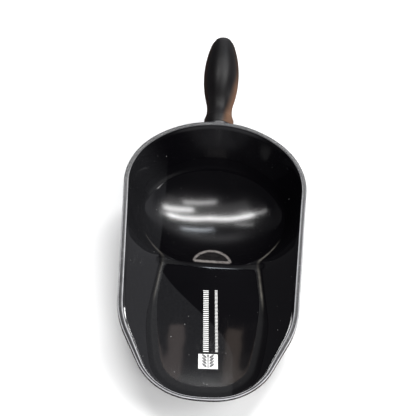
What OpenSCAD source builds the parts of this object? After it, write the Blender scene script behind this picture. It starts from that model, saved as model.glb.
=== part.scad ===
// Hand-held grain and feed scoop, standing on its foot ring, lip toward -Y, handle toward +Y.
// Origin: centre of the foot ring's flat face. Lengths in mm, angles in degrees.

/* [Rim] */
// Length of the rim from the lip to the back edge, along its slope
rim_l = 264; // [256:1:274]
// Width of the rim at its widest
rim_w = 150; // [144:1:156]
// Slope of the rim, rising from the lip to the back
rim_slope = 8.4; // [7.5:0.1:9.5]
// Width of the flat band on top of the rim
bead_w = 3.9; // [3.4:0.1:4.6]
// Height of the rim band's outer face
bead_h = 5; // [4:0.2:6]
// Width of the rim band at the front lip
lip_w = 2.2; // [1.8:0.1:2.8]
// Height of the rim band's outer face at the front lip
lip_face = 3; // [2.6:0.1:3.4]
// Rise of the lip's top above the floor
lip_rise = 1.2; // [0.8:0.1:1.6]

/* [Bowl] */
// Thickness of the moulded wall
wall_t = 2.4; // [2.1:0.1:2.8]
// Radius of the round sump
sump_r = 60; // [56:1:62]
// Depth of the sump below the floor
sump_d = 16; // [12:1:20]
// Distance in plan between the sump's edge and the back of the rim
sump_gap = 15; // [14:0.5:18]
// Width of the flat floor panel in front of the sump
panel_w = 88; // [80:1:94]
// Inside radius of the crease between floor and wall
crease_r = 4.5; // [3:0.5:7]
// Radius of the rounded ridge between sump and floor panel
ridge_r = 6; // [4:0.5:9]

/* [Foot] */
// Outer radius of the foot ring
foot_r = 34; // [30:1:38]
// Width of the foot ring
foot_w = 3; // [2.5:0.5:4]
// Clearance between the bottom of the sump and the ground
foot_gap = 1; // [0.8:0.1:2]

/* [Handle] */
// Length of the handle from the back of the rim to its end
handle_l = 113; // [108:1:120]
// Diameter of the handle at its fullest
belly_d = 31.5; // [29:0.5:33]
// Diameter of the neck
neck_d = 22; // [21.5:0.5:23]
// Depth of the handle's axis below the rim
handle_drop = 14; // [13.5:0.25:15]
// Wall thickness of the two handle shells
grip_t = 2.3; // [2:0.1:2.6]
// Radius of the hollow tang inside the handle
tang_r = 8; // [7.5:0.1:8]

/* [Screws] */
// Shank diameter of the self-tapping handle screws
screw_d = 3.5; // [3:0.1:3.8]
// Diameter of the screw heads
screw_head_d = 6.2; // [5.8:0.1:6.6]

/* [Hidden] */
$fn = 72;

// heights and places along the bowl
floor_z = foot_gap + wall_t + sump_d;
lip_y = sump_r + sump_gap - rim_l * cos(rim_slope);
lip_z = floor_z + lip_rise;
back_y = sump_r + sump_gap;
sphere_r = (sump_r * sump_r + sump_d * sump_d) / (2 * sump_d);
front_y = lip_y + 61;

// the floor panel: where it starts at the sump, its corners, and how it narrows toward the lip
panel_top = -(sump_r - 5);
panel_corner = 12;
narrow_from = -88;
narrow_by = 0.05;

// the front wall's foot lies this many rim heights behind the rim, and a little more
front_lean = 1.4;
front_toe = 1.5;

// fall of the sump's front below the panel's straight end, and how softly the surfaces merge
front_fall = 0.62;
front_feather = 1.5;
panel_feather = 4;
notch_feather = 8;

// distance from the lip over which the rim band thickens
lip_fade = 56;

// the rim outline is a chain of arcs and two straights: radii and the angle each turns through
arc_r = [0.747 * rim_w, 0.325 * rim_w, 0.496 * rim_w, 0.422 * rim_w, 0.532 * rim_w];
arc_a = [5, 58.5, 23.2, 48.5, 44.8];
head_0 = [0, 5, 63.5, 86.7, 135.2];
function arc_step(r, t, a) = [r * (sin(t + a) - sin(t)), -r * (cos(t + a) - cos(t))];
function sum_steps(i) =
    i < 0 ? [0, 0] : sum_steps(i - 1) + arc_step(arc_r[i], head_0[i], arc_a[i]);
rest = [0, rim_l] - sum_steps(4);
turn_1 = head_0[2];
turn_2 = head_0[3];
det = sin(turn_2 - turn_1);
line_1 = (rest[0] * sin(turn_2) - rest[1] * cos(turn_2)) / det;
line_2 = (rest[1] * cos(turn_1) - rest[0] * sin(turn_1)) / det;

// joints of the chain, as distance from the middle and distance from the lip
knot_1 = arc_step(arc_r[0], 0, arc_a[0]);
knot_2 = knot_1 + arc_step(arc_r[1], head_0[1], arc_a[1]);
knot_3 = knot_2 + line_1 * [cos(turn_1), sin(turn_1)];
knot_4 = knot_3 + arc_step(arc_r[2], turn_1, arc_a[2]);
knot_5 = knot_4 + line_2 * [cos(turn_2), sin(turn_2)];
knot_6 = knot_5 + arc_step(arc_r[3], head_0[3], arc_a[3]);

// points [across, along, heading] on one half of the rim's outer edge, from lip to back
function arc_run(p, r, t, a, n) =
    [for (i = [1:n]) let (q = p + arc_step(r, t, a * i / n)) [q[0], q[1], t + a * i / n]];
function line_run(p, l, t, n) =
    [for (i = [1:n]) [p[0] + l * i / n * cos(t), p[1] + l * i / n * sin(t), t]];
half_rim = concat(
    [[0, 0, 0]],
    arc_run([0, 0], arc_r[0], 0, arc_a[0], 2),
    arc_run(knot_1, arc_r[1], head_0[1], arc_a[1], 9),
    line_run(knot_2, line_1, turn_1, 3),
    arc_run(knot_3, arc_r[2], turn_1, arc_a[2], 5),
    line_run(knot_4, line_2, turn_2, 16),
    arc_run(knot_5, arc_r[3], head_0[3], arc_a[3], 9),
    [for (i = [1:11]) let (q = knot_6 + arc_step(arc_r[4], head_0[4], arc_a[4] * i / 11))
        [i == 11 ? 0 : q[0], q[1], head_0[4] + arc_a[4] * i / 11]]
);
half_n = len(half_rim);
loop_n = 2 * (half_n - 1);

// smooth step, soft maximum and soft minimum
function ease(x) = let (c = max(0, min(1, x))) c * c * (3 - 2 * c);
function soft_max(a, b, k) = (a + b + sqrt((a - b) * (a - b) + k * k)) / 2;
function soft_min(a, b, k) = (a + b - sqrt((a - b) * (a - b) + k * k)) / 2;

// a place on the rim: across, along, and height square to the rim's plane
function rim_place(x, u, v) = [
    x,
    lip_y + u * cos(rim_slope) - v * sin(rim_slope),
    lip_z + u * sin(rim_slope) + v * cos(rim_slope)
];
function band(u) = lip_w + (bead_w - lip_w) * ease(u / lip_fade);
function face_h(u) = lip_face + (bead_h - lip_face) * ease(u / lip_fade);
function moved(p, d) = [p[0] - sin(p[2]) * d, p[1] + cos(p[2]) * d];
function inner_edge(p) = moved(p, band(p[1]));
edge_plan = [for (p = half_rim) let (e = inner_edge(p), q = rim_place(e[0], e[1], 0)) [q[0], q[1]]];

// how far a plan point is from the rim's inner edge
function seg_dist(p, a, b) =
    let (d = b - a, t = max(0, min(1, ((p - a) * d) / (d * d)))) norm(p - a - d * t);
function rim_dist(p) = min([for (i = [0:half_n - 2]) seg_dist(p, edge_plan[i], edge_plan[i + 1])]);

// the bowl's floor region: the round sump joined to the panel that runs to the lip
function rim_over(y) = lip_rise + (y - lip_y) * tan(rim_slope);
function front_foot(y) = front_lean * rim_over(y) + front_toe;
function panel_half(y) = panel_w / 2 - narrow_by * max(0, narrow_from - y);
function panel_dist(x, y) =
    let (c = panel_corner, qx = abs(x) - panel_half(y) + c, qy = y - panel_top + c)
    norm([max(qx, 0), max(qy, 0)]) + min(max(qx, qy), 0) - c;
function base_dist(x, y, far) =
    let (panel = soft_max(panel_dist(x, y), front_foot(y) - far, panel_feather))
    soft_min(norm([x, y]) - sump_r, panel, notch_feather);

// height of the inside surface above the floor plane
function bowl_height(x, y) =
    let (
        far = rim_dist([abs(x), y]),
        high = rim_over(y),
        near = base_dist(x, y, far),
        gap = max(near + far, 1),
        slope = high / gap,
        wall = high * near / gap,
        r = min(norm([x, y]), 0.98 * sphere_r),
        cup = sphere_r - sump_d - sqrt(sphere_r * sphere_r - r * r),
        edge = sump_r / (sphere_r - sump_d),
        k_edge = ridge_r * edge * edge / 2 / pow(1 + edge * edge / 4, 1.5),
        front = front_fall * (panel_top - y),
        low = soft_min(0, soft_max(cup, front, front_feather), k_edge),
        k_wall = crease_r * slope * slope / 2 / pow(1 + slope * slope / 4, 1.5),
        s = max(0, min(1, near / gap)),
        top = soft_max(wall, low, k_wall)
    )
    wall + (top - wall) * (1 - s * s);

// each section of the bowl runs from a point on the middle line out to the rim
function hub(y) = [0, max(front_y, min(0, y))];
function base_reach(e) =
    let (h = hub(e[1]), full = norm(e - h), lipward = full - front_foot(e[1]))
    e[1] > 0 ? sump_r :
    e[1] < front_y ? lipward :
    max(sqrt(max(0, sump_r * sump_r - e[1] * e[1])), min(panel_half(e[1]), lipward));
floor_steps = [0.12, 0.26, 0.41, 0.56, 0.7, 0.82, 0.92, 1];
wall_steps = [0.12, 0.28, 0.48, 0.68, 0.86];
function section(i) =
    let (e = edge_plan[i], h = hub(e[1]), full = norm(e - h), b = base_reach(e) / full)
    [
        for (t = concat([for (f = floor_steps) f * b], [for (f = wall_steps) b + f * (1 - b)]))
            let (p = h + (e - h) * t) [p[0], p[1], floor_z + bowl_height(p[0], p[1])]
    ];
half_inside = [for (i = [0:half_n - 1]) section(i)];
rows_in = len(floor_steps) + len(wall_steps);

function half_index(k) = k < half_n ? k : loop_n - k;
function mirror_if(k, p) = k < half_n ? p : [-p[0], p[1], p[2]];
function wrap(k) = (k + loop_n) % loop_n;
function inside(k, j) = mirror_if(wrap(k), half_inside[half_index(wrap(k))][j]);
function rim_top(k) =
    let (p = half_rim[half_index(wrap(k))], e = inner_edge(p))
    mirror_if(wrap(k), rim_place(e[0], e[1], -0.5));
function grid(k, j) = j >= rows_in ? rim_top(k) : inside(k, max(0, j));

// the handle leaves the back of the rim parallel to the rim's slope
handle_root = rim_place(0, rim_l, -handle_drop);
handle_dir = [0, cos(rim_slope), sin(rim_slope)];
function axis_dist(p) = norm(cross(p - handle_root, handle_dir));
function root_swell(p) = p[1] < 0 ? 0 : 4 * ease((24 - axis_dist(p)) / 14);

// the outside follows the inside at the wall's thickness, fuller at the handle's root
function skin_normal(k, j) =
    let (
        a = grid(k + 1, j) - grid(k - 1, j),
        b = grid(k, j + 1) - grid(k, j - 1),
        c = cross(a, b),
        n = c / norm(c)
    )
    n[2] < 0 ? -n : n;
function outside(k, j) =
    let (p = grid(k, j)) p - skin_normal(k, j) * (wall_t + root_swell(p));

// the rim band's section: inner corner, top, rounded outer corner, face, under edge
function band_point(k, m) =
    let (
        p = half_rim[half_index(wrap(k))],
        w = band(p[1]),
        f = face_h(p[1]),
        cut = [[w, -0.5], [w - 0.5, 0], [1.1, 0], [0.35, -0.3], [0, -1.1], [0, 0.7 - f], [0.6, -f]][m],
        q = moved(p, cut[0])
    )
    mirror_if(wrap(k), rim_place(q[0], q[1], cut[1]));
rows_band = 7;
row_all = 2 * rows_in + rows_band;
function shell_point(r, k) =
    r < rows_in ? inside(k, r) :
    r < rows_in + rows_band ? band_point(k, r - rows_in) :
    outside(k, row_all - 1 - r);

module bowl_shell() {
    points = [for (r = [0:row_all - 1]) for (k = [0:loop_n - 1]) shell_point(r, k)];
    sides = [
        for (r = [0:row_all - 2]) for (k = [0:loop_n - 1])
            let (a = r * loop_n + k, b = r * loop_n + wrap(k + 1), c = b + loop_n, d = a + loop_n)
            each k < half_n - 1 ? [[a, b, c], [a, c, d]] : [[a, b, d], [b, c, d]]
    ];
    last = (row_all - 1) * loop_n;
    caps = [
        for (k = [1:half_n - 3])
            let (a = k, b = loop_n - k, c = loop_n - k - 1, d = k + 1)
            each [
                [a, b, c], [a, c, d],
                [last + a, last + c, last + b], [last + a, last + d, last + c]
            ]
    ];
    ends = [
        [0, loop_n - 1, 1],
        [half_n - 1, half_n - 2, half_n],
        [last, last + 1, last + loop_n - 1],
        [last + half_n - 1, last + half_n, last + half_n - 2]
    ];
    polyhedron(points, concat(sides, caps, ends), convexity = 8);
}

module foot() {
    top = foot_gap + sphere_r + wall_t - sqrt(pow(sphere_r + wall_t, 2) - foot_r * foot_r) + 0.9;
    difference() {
        cylinder(h = top, r = foot_r);
        translate([0, 0, -1])
            cylinder(h = top + 2, r = foot_r - foot_w);
    }
}

// everything on the handle is drawn along +Z from the back of the rim, with -Y up
module on_handle() {
    translate(handle_root)
        rotate([rim_slope - 90, 0, 0])
            children();
}

joint_s = 3;
belly_r = belly_d / 2;
neck_r = neck_d / 2;
neck_s = 24;
belly_s = neck_s + 0.38 * handle_l;
flare_r = 37;
collar_r = min(13.4, neck_r + 1.8);

// the handle's outline is four arcs: flare, neck, belly and the rounded end, each running into the next
bend_sum = (pow(belly_s - neck_s, 2) + pow(belly_r - neck_r, 2)) / (2 * (belly_r - neck_r));
bend_neck = 0.26 * bend_sum;
bend_belly = bend_sum - bend_neck;
past_belly = handle_l - belly_s;
spare = bend_belly - past_belly;
tip_reach = (pow(bend_belly - belly_r, 2) + spare * spare) / (2 * spare);
tip_r = bend_belly - tip_reach;
tip_s = handle_l - tip_r;

// the handle's half section, smaller all round by inset, from a distance along its axis to the end
module grip_profile(inset, from) {
    bite = sqrt(pow(flare_r + inset, 2) - pow(neck_r + flare_r - collar_r + inset, 2));
    swap_s = neck_s + (belly_s - neck_s) * (bend_neck + inset) / bend_sum;
    join_s = belly_s + (bend_belly - inset) * (tip_s - belly_s) / tip_reach;
    join_a = asin((join_s - tip_s) / (tip_r - inset));
    polygon(concat(
        [[0, from], [collar_r - inset, from]],
        [
            for (i = [0:3])
                let (d = bite * (1 - i / 4))
                [neck_r + flare_r - sqrt(pow(flare_r + inset, 2) - d * d), neck_s - d]
        ],
        [
            for (i = [0:2])
                let (d = (swap_s - neck_s) * i / 3)
                [neck_r + bend_neck - sqrt(pow(bend_neck + inset, 2) - d * d), neck_s + d]
        ],
        [
            for (i = [0:10])
                let (d = swap_s + (join_s - swap_s) * i / 11 - belly_s)
                [belly_r - bend_belly + sqrt(pow(bend_belly - inset, 2) - d * d), belly_s + d]
        ],
        [
            for (i = [0:6])
                let (a = join_a + (90 - join_a) * i / 7)
                [(tip_r - inset) * cos(a), tip_s + (tip_r - inset) * sin(a)]
        ],
        [[0, handle_l - inset]]
    ));
}

// outside radius of the handle where a screw goes through it
function belly_at(s) = belly_r - bend_belly + sqrt(pow(bend_belly, 2) - pow(s - belly_s, 2));
function neck_at(s) = neck_r + bend_neck - sqrt(pow(bend_neck, 2) - pow(min(s, 50) - neck_s, 2));
function grip_at(s) = min(belly_at(s), neck_at(s));

screw_s = [34, belly_s, handle_l - 21];
screw_seat = 9.4;
screw_l = 19.6;
boss_r = 4.2;

module grip_solid() {
    rotate_extrude()
        grip_profile(0, joint_s + 0.1);
}

module grip_hollow() {
    rotate_extrude()
        grip_profile(grip_t, joint_s + 4);
    cylinder(h = joint_s + 5, r = tang_r + 0.15);
}

module half_space(up) {
    translate([-40, up ? -80.05 : 0.05, -20])
        cube([80, 80, handle_l + 60]);
}

// screw posts stand between the tang and the shell, ending inside the shell's wall
module posts(up) {
    for (s = screw_s) {
        start = s > 80 ? 0.05 : tang_r + 0.1;
        translate([0, 0, s])
            rotate([up ? 90 : -90, 0, 0])
                translate([0, 0, start])
                    cylinder(h = grip_at(s) - 1.1 - start, r = boss_r);
    }
}

module bowl() {
    color([0.03, 0.03, 0.035])
    difference() {
        union() {
            bowl_shell();
            foot();
            tang_body();
        }
        on_handle()
            tang_holes();
    }
}

// the root collar and the tube that the handle shells close on, started inside the swollen back wall
module tang_body() {
    lean = atan2(sump_gap - bead_w, rim_over(back_y));
    difference() {
        on_handle() {
            translate([0, 0, -30])
                cylinder(h = 30 + joint_s, r = collar_r);
            cylinder(h = 82, r = tang_r);
        }
        translate([0, sump_r, floor_z])
            rotate([-lean, 0, 0])
                translate([-50, wall_t + 1.4 - 100, -60])
                    cube([100, 100, 160]);
    }
}

module tang_holes() {
    translate([0, 0, joint_s + 3])
        cylinder(h = 100, r = tang_r - 2.6);
    for (s = screw_s)
        if (s < 80)
            translate([0, 0, s])
                rotate([90, 0, 0])
                    cylinder(h = 40, r = screw_d / 2 + 0.3, center = true);
}

module handle_upper() {
    color([0.035, 0.035, 0.04])
    on_handle()
        difference() {
            intersection() {
                union() {
                    difference() {
                        grip_solid();
                        grip_hollow();
                    }
                    posts(true);
                }
                half_space(true);
            }
            for (s = screw_s)
                translate([0, 0, s])
                    rotate([90, 0, 0])
                        translate([0, 0, -1])
                            cylinder(h = 1 + screw_l - screw_seat + 0.4, r = screw_d / 2 + 0.05);
        }
}

module handle_lower() {
    color([0.035, 0.035, 0.04])
    on_handle()
        difference() {
            intersection() {
                union() {
                    difference() {
                        grip_solid();
                        grip_hollow();
                    }
                    posts(false);
                }
                half_space(false);
            }
            for (s = screw_s)
                translate([0, 0, s])
                    rotate([-90, 0, 0]) {
                        translate([0, 0, -1])
                            cylinder(h = 30, r = screw_d / 2 + 0.2);
                        translate([0, 0, screw_seat])
                            cylinder(h = 30, r = screw_head_d / 2 + 0.3);
                    }
        }
}

module screw() {
    difference() {
        union() {
            cylinder(h = 2.2, r = screw_head_d / 2);
            translate([0, 0, -screw_l + 3])
                cylinder(h = screw_l - 2.9, r = screw_d / 2);
            translate([0, 0, -screw_l])
                cylinder(h = 3, r1 = 0.4, r2 = screw_d / 2);
        }
        for (a = [0, 90])
            rotate([0, 0, a])
                translate([-screw_head_d / 3, -0.45, 1.1])
                    cube([screw_head_d / 1.5, 0.9, 3]);
    }
}

module handle_screws() {
    color([0.6, 0.61, 0.63])
    on_handle()
        for (s = screw_s)
            translate([0, 0, s])
                rotate([-90, 0, 0])
                    translate([0, 0, screw_seat + 0.02])
                        screw();
}

bowl();
handle_upper();
handle_lower();
handle_screws();
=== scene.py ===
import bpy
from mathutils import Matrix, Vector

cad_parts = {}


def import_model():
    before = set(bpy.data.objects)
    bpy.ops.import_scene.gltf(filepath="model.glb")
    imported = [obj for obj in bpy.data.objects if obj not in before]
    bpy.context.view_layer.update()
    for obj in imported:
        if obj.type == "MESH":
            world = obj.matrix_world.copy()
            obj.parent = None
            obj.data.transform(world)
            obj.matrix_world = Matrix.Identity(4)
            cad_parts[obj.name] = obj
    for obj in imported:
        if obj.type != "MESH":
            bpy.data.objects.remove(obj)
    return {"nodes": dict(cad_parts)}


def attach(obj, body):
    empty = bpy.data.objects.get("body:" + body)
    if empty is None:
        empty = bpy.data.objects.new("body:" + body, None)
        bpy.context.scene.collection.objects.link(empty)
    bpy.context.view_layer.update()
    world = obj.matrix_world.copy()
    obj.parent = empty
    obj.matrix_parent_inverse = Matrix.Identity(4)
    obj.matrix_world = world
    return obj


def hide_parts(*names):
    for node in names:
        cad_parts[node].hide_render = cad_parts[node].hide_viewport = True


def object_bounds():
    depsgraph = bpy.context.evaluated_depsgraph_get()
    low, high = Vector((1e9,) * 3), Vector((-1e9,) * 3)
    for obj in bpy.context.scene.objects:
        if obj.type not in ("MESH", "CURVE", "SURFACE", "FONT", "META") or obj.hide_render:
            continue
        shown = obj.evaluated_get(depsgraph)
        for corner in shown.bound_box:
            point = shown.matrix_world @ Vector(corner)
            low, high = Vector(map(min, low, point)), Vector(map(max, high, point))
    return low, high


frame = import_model()
cad_box = [list(corner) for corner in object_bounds()]

import math

import bmesh
import bpy
import numpy as np
from mathutils import Matrix, Vector

# A hand-held feed scoop in glossy black plastic. Shapes are worked out in millimetres, in the CAD
# frame (lip toward -Y, handle toward +Y, standing on z = 0), and written to meshes in metres.
MM = 0.001

# ---- the scoop's sizes, the same as the CAD part's ----
RIM_L = 264.0
RIM_W = 150.0
RIM_SLOPE = math.radians(8.4)
BEAD_W, BEAD_H = 3.9, 5.0
LIP_W, LIP_FACE, LIP_RISE = 2.2, 3.0, 1.2
LIP_FADE = 56.0
WALL_T = 2.4
SUMP_R, SUMP_D, SUMP_GAP = 60.0, 16.0, 15.0
PANEL_W, PANEL_CORNER, PANEL_FEATHER, NOTCH_FEATHER = 88.0, 12.0, 4.0, 8.0
# the floor panel narrows by a share of the way forward from NARROW_FROM, and its front keeps
# clear of the rim: FRONT_LEAN for each mm that the rim is over the floor, and FRONT_TOE
NARROW_FROM, NARROW_BY = -88.0, 0.05
FRONT_LEAN, FRONT_TOE = 1.4, 1.5
# the sump's straight front: its slope down from the panel, and how softly it joins the cup
FRONT_FALL, FRONT_FEATHER = 0.62, 1.5
CREASE_R, RIDGE_R = 4.5, 6.0
FOOT_R, FOOT_W, FOOT_GAP = 34.0, 3.0, 1.0
HANDLE_L, BELLY_R, NECK_R, NECK_S = 113.0, 15.75, 11.0, 24.0
HANDLE_DROP, COLLAR_R, FLARE_R = 14.0, 12.8, 37.0
TANG_R, TANG_L, TANG_WALL = 8.0, 82.0, 2.6
GRIP_T, JOINT_S, SHELL_GAP = 2.3, 3.0, 0.1
SCREW_SEAT, SCREW_HEAD_R, BOSS_R, SCREW_HOLE_R = 9.4, 3.1, 4.2, 1.95

COS, SIN, TAN = math.cos(RIM_SLOPE), math.sin(RIM_SLOPE), math.tan(RIM_SLOPE)
FLOOR_Z = FOOT_GAP + WALL_T + SUMP_D
BACK_Y = SUMP_R + SUMP_GAP
LIP_Y = BACK_Y - RIM_L * COS
LIP_Z = FLOOR_Z + LIP_RISE
SPHERE_R = (SUMP_R ** 2 + SUMP_D ** 2) / (2 * SUMP_D)
# the mesh of the bowl fans out around FRONT_Y at the lip; PANEL_TOP is the floor panel's back edge
FRONT_Y = LIP_Y + 61.0
PANEL_TOP = -(SUMP_R - 5.0)
# along the handle: where it is fullest, and its three screws
BELLY_S = NECK_S + 0.38 * HANDLE_L
SCREW_S = (34.0, BELLY_S, HANDLE_L - 21.0)

# the rim outline: radii and turned angles of its five arcs, and each arc's first heading
ARC_R = [f * RIM_W for f in (0.747, 0.325, 0.496, 0.422, 0.532)]
ARC_A = [math.radians(a) for a in (5, 58.5, 23.2, 48.5, 44.8)]
HEADING = [math.radians(a) for a in (0, 5, 63.5, 86.7, 135.2)]
RIM_PITCH = 1.6  # about how far apart the mesh's sections are along the rim


# ---------------------------------------------------------------- shape of the bowl
def ease(x):
    c = np.clip(x, 0, 1)
    return c * c * (3 - 2 * c)


def toward_lip(y, start, fade):
    """0 behind start, rising to 1 at a distance of fade ahead of it."""
    return ease((start - y) / fade)


def soft_max(a, b, k):
    return (a + b + np.sqrt((a - b) ** 2 + k * k)) / 2


def soft_min(a, b, k):
    return (a + b - np.sqrt((a - b) ** 2 + k * k)) / 2


def arc_step(r, t, a):
    return np.array([r * (math.sin(t + a) - math.sin(t)), r * (math.cos(t) - math.cos(t + a))])


def rim_outline():
    """Points (across, along, heading) on half of the rim's outer edge, from lip to back."""
    total = sum((arc_step(r, t, a) for r, t, a in zip(ARC_R, HEADING, ARC_A)), np.zeros(2))
    rest = np.array([0.0, RIM_L]) - total
    turn_1, turn_2 = HEADING[2], HEADING[3]
    det = math.sin(turn_2 - turn_1)
    line_1 = (rest[0] * math.sin(turn_2) - rest[1] * math.cos(turn_2)) / det
    line_2 = (rest[1] * math.cos(turn_1) - rest[0] * math.sin(turn_1)) / det
    points = [(0.0, 0.0, 0.0)]
    at = np.zeros(2)
    for kind, i, length in (
        ("arc", 0, 0), ("arc", 1, 0), ("line", 2, line_1), ("arc", 2, 0),
        ("line", 3, line_2), ("arc", 3, 0), ("arc", 4, 0),
    ):
        t = HEADING[i]
        if kind == "arc":
            n = max(2, round(ARC_R[i] * ARC_A[i] / RIM_PITCH))
            for j in range(1, n + 1):
                q = at + arc_step(ARC_R[i], t, ARC_A[i] * j / n)
                points.append((q[0], q[1], t + ARC_A[i] * j / n))
        else:
            n = max(2, round(length / RIM_PITCH))
            for j in range(1, n + 1):
                q = at + np.array([math.cos(t), math.sin(t)]) * length * j / n
                points.append((q[0], q[1], t))
        at = q
    points[-1] = (0.0, RIM_L, points[-1][2])
    return np.array(points)


def rim_place(x, u, v):
    """A place on the rim: across, along, and height square to the rim's plane."""
    return np.stack([x, LIP_Y + u * COS - v * SIN, LIP_Z + u * SIN + v * COS], -1)


def band_width(u):
    return LIP_W + (BEAD_W - LIP_W) * ease(u / LIP_FADE)


def face_height(u):
    return LIP_FACE + (BEAD_H - LIP_FACE) * ease(u / LIP_FADE)


def moved_in(outline, d):
    return outline[:, 0] - np.sin(outline[:, 2]) * d, outline[:, 1] + np.cos(outline[:, 2]) * d


OUTLINE = rim_outline()
EDGE_X, EDGE_U = moved_in(OUTLINE, band_width(OUTLINE[:, 1]))
EDGE = rim_place(EDGE_X, EDGE_U, 0 * EDGE_X)[:, :2]


def rim_dist(x, y):
    """Distance in plan from the rim's inner edge."""
    p = np.stack([np.abs(x), y], -1).reshape(-1, 2)
    a, d = EDGE[:-1], EDGE[1:] - EDGE[:-1]
    dd = (d * d).sum(1)
    out = np.empty(len(p))
    chunk = 4000
    for i in range(0, len(p), chunk):
        q = p[i:i + chunk, None, :] - a[None]
        t = np.clip((q * d).sum(-1) / dd, 0, 1)
        out[i:i + chunk] = np.sqrt(((q - d * t[..., None]) ** 2).sum(-1).min(1))
    return out.reshape(np.shape(x))


def rim_over(y):
    return LIP_RISE + (y - LIP_Y) * TAN


def panel_half(y):
    return PANEL_W / 2 - NARROW_BY * np.maximum(0, NARROW_FROM - y)


def panel_dist(x, y):
    qx = np.abs(x) - panel_half(y) + PANEL_CORNER
    qy = y - PANEL_TOP + PANEL_CORNER
    corner = np.hypot(np.maximum(qx, 0), np.maximum(qy, 0))
    return corner + np.minimum(np.maximum(qx, qy), 0) - PANEL_CORNER


def base_dist(x, y, far):
    front = FRONT_LEAN * rim_over(y) + FRONT_TOE - far
    panel = soft_max(panel_dist(x, y), front, PANEL_FEATHER)
    return soft_min(np.hypot(x, y) - SUMP_R, panel, NOTCH_FEATHER)


def bowl_height(x, y):
    """Height of the inside surface above the floor panel."""
    far = rim_dist(x, y)
    high = rim_over(y)
    near = base_dist(x, y, far)
    gap = np.maximum(near + far, 1)
    slope = high / gap
    wall = high * near / gap
    r = np.minimum(np.hypot(x, y), 0.98 * SPHERE_R)  # keeps the square root real
    cup = SPHERE_R - SUMP_D - np.sqrt(SPHERE_R ** 2 - r * r)
    edge = SUMP_R / (SPHERE_R - SUMP_D)
    k_edge = RIDGE_R * edge ** 2 / 2 / (1 + edge ** 2 / 4) ** 1.5
    low = soft_min(0, soft_max(cup, FRONT_FALL * (PANEL_TOP - y), FRONT_FEATHER), k_edge)
    k_wall = CREASE_R * slope ** 2 / 2 / (1 + slope ** 2 / 4) ** 1.5
    s = np.clip(near / gap, 0, 1)
    top = soft_max(wall, low, k_wall)
    return wall + (top - wall) * (1 - s * s)


def inside_normal(x, y):
    step = 0.15
    gx = (bowl_height(x + step, y) - bowl_height(x - step, y)) / (2 * step)
    gy = (bowl_height(x, y + step) - bowl_height(x, y - step)) / (2 * step)
    n = np.stack([-gx, -gy, np.ones_like(gx)], -1)
    return n / np.linalg.norm(n, axis=-1, keepdims=True)


# ---------------------------------------------------------------- the handle's own directions
ALONG = np.array([0, COS, SIN])
UPWARD = np.array([0, -SIN, COS])
ACROSS = np.array([1.0, 0, 0])
ROOT = rim_place(0.0, RIM_L, -HANDLE_DROP)


def on_handle(s, x, v):
    """A place from the distance along the handle, across it, and up from its axis."""
    beside = np.multiply.outer(x, ACROSS) + np.multiply.outer(v, UPWARD)
    return ROOT + np.multiply.outer(s, ALONG) + beside


def axis_dist(p):
    return np.linalg.norm(np.cross(p - ROOT, ALONG), axis=-1)


# ---------------------------------------------------------------- mesh helpers
def in_cad_box(points):
    """Keeps points inside the CAD model's box, which its facets make slightly smaller."""
    low, high = (np.array(corner) / MM for corner in cad_box)
    return np.clip(np.asarray(points, float), low, high)


def mesh_object(name, points, faces, smooth=True):
    mesh = bpy.data.meshes.new(name)
    places = [tuple(p) for p in np.asarray(points) * MM]
    mesh.from_pydata(places, [], [tuple(int(i) for i in f) for f in faces])
    mesh.update()
    if smooth:
        mesh.shade_smooth()
    made = bpy.data.objects.new(name, mesh)
    bpy.context.scene.collection.objects.link(made)
    return made


def sharpen(piece, degrees):
    piece.data.set_sharp_from_angle(angle=math.radians(degrees))


def face_outward(piece):
    bm = bmesh.new()
    bm.from_mesh(piece.data)
    bmesh.ops.recalc_face_normals(bm, faces=bm.faces)
    bm.to_mesh(piece.data)
    bm.free()


def cut_or_join(piece, other, operation):
    """Boolean with another mesh, which is then removed."""
    step = piece.modifiers.new("step", "BOOLEAN")
    step.object = other
    step.operation = operation
    step.solver = "EXACT"
    graph = bpy.context.evaluated_depsgraph_get()
    made = bpy.data.meshes.new_from_object(piece.evaluated_get(graph))
    piece.modifiers.clear()
    old = piece.data
    piece.data = made
    made.name = piece.name
    bpy.data.meshes.remove(old)
    bpy.data.objects.remove(other)


# ---------------------------------------------------------------- the bowl moulding
# rows of mesh on the floor and on the walls, inside and outside
FLOOR_ROWS, WALL_ROWS = 40, 26
OUT_FLOOR_ROWS, OUT_WALL_ROWS = 20, 14


def row_places(reach, floor_rows, wall_rows):
    """Shares of the way from the middle to the rim, closer together near the crease."""
    f = (np.arange(floor_rows) + 0.5) / floor_rows
    f = 0.02 + 0.98 * np.sin(f * math.pi / 2)
    g = (np.arange(wall_rows) + 0.5) / wall_rows
    g = 0.985 * (0.35 * g + 0.65 * g * g)
    return np.concatenate([np.outer(reach, f), reach[:, None] + np.outer(1 - reach, g)], 1)


def base_reach():
    """Share of each section, from the middle to the rim's inner edge, that is floor."""
    y = EDGE[:, 1]
    full = np.hypot(EDGE[:, 0], y - np.clip(y, FRONT_Y, 0))
    lipward = full - FRONT_LEAN * rim_over(y) - FRONT_TOE
    side = np.minimum(panel_half(y), lipward)
    front = side + (lipward - side) * toward_lip(y, FRONT_Y, 25)
    round_part = np.sqrt(np.maximum(0, SUMP_R ** 2 - y * y))
    middle = np.maximum(round_part, side)
    reach = np.where(y > 0, SUMP_R, np.where(y < FRONT_Y, front, middle))
    return reach / full


def plan_rows(floor_rows, wall_rows):
    hub = np.stack([0 * EDGE[:, 0], np.clip(EDGE[:, 1], FRONT_Y, 0)], -1)
    t = row_places(base_reach(), floor_rows, wall_rows)
    return hub[:, None, :] + (EDGE - hub)[:, None, :] * t[..., None]


def inside_rows():
    plan = plan_rows(FLOOR_ROWS, WALL_ROWS)
    x, y = plan[..., 0], plan[..., 1]
    return np.stack([x, y, FLOOR_Z + bowl_height(x, y)], -1)


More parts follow.
